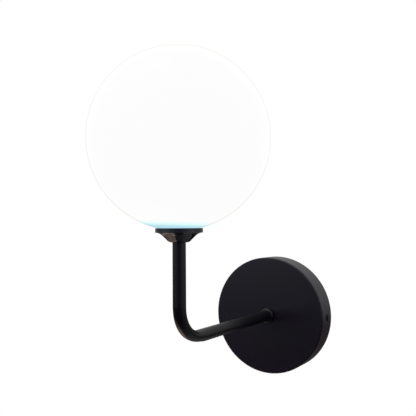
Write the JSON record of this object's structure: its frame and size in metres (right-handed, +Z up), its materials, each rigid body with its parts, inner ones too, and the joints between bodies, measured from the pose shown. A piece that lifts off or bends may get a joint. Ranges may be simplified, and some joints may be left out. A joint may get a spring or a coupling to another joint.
{
  "type": "wall sconce",
  "caption": "Wall sconce with an opal glass globe on a flared cup, carried by an L-bent tube from a round canopy.",
  "frame": {"origin": "centre of the canopy's back, on the wall", "axes": "+Z up, +Y into the wall, +X to the right of someone who faces the wall"},
  "size_m": [0.15, 0.265, 0.3004],
  "materials": {
    "black_finish": "satin",
    "black_oxide": "satin",
    "zinc_steel": "satin",
    "brass": "satin",
    "opal_glass": "gloss",
    "lamp_cover": "matte",
    "steatite": "satin",
    "lamp_plastic": "satin",
    "natural_nylon": "satin",
    "white_nylon": "satin",
    "silicone": "matte",
    "brown_sleeve": "satin",
    "blue_sleeve": "satin",
    "earth_sleeve": "satin",
    "white_laminate": "satin",
    "phosphor": "satin"
  },
  "bodies": {
    "fixture": {"canopy": "black_finish", "mounting_strap": "zinc_steel", "side_screws": "black_oxide", "arm_tube": "black_finish", "arm_collar": "black_finish", "canopy_flat_washer": "zinc_steel", "canopy_lock_washer": "zinc_steel", "canopy_nut": "zinc_steel", "wall_end_bushing": "natural_nylon", "lamp_end_bushing": "natural_nylon", "fitter_cup": "black_finish", "cup_lock_washer": "zinc_steel", "cup_nut": "zinc_steel", "shade_carrier": "zinc_steel", "carrier_nut": "zinc_steel", "lampholder_body": "steatite", "lampholder_ring": "zinc_steel", "contact_springs": "zinc_steel", "earth_ring_terminal": "zinc_steel", "earth_lock_washer": "zinc_steel", "earth_screw": "brass", "terminal_block": "white_nylon", "terminal_inserts": "brass", "clamp_screws": "zinc_steel", "block_screws": "zinc_steel", "live_lead": "brown_sleeve", "neutral_lead": "blue_sleeve", "earth_lead": "earth_sleeve"},
    "seal": {"globe_seal": "silicone"},
    "globe": {"glass_globe": "opal_glass"},
    "lamp": {"bulb_base": "lamp_plastic", "bulb_pins": "zinc_steel", "bulb_envelope": "lamp_cover", "bulb_led_board": "white_laminate", "bulb_led_chips": "phosphor"}
  },
  "joints": [
    {"name": "globe_lift", "type": "slide", "parent": "fixture", "child": "seal", "axis": [0, 0, 1], "range_m": [0, 0.0168]},
    {"name": "globe_turn", "type": "hinge", "parent": "seal", "child": "globe", "pos_m": [0, -0.19, 0.092], "axis": [0, 0, 1], "range_deg": [0, 2520]},
    {"name": "lamp_pull", "type": "slide", "parent": "fixture", "child": "lamp", "axis": [0, 0, 1], "range_m": [0, 0.008]}
  ],
  "couplings": [
    {"joint": "globe_turn", "follows": "globe_lift", "rad_per_m": 2618}
  ]
}
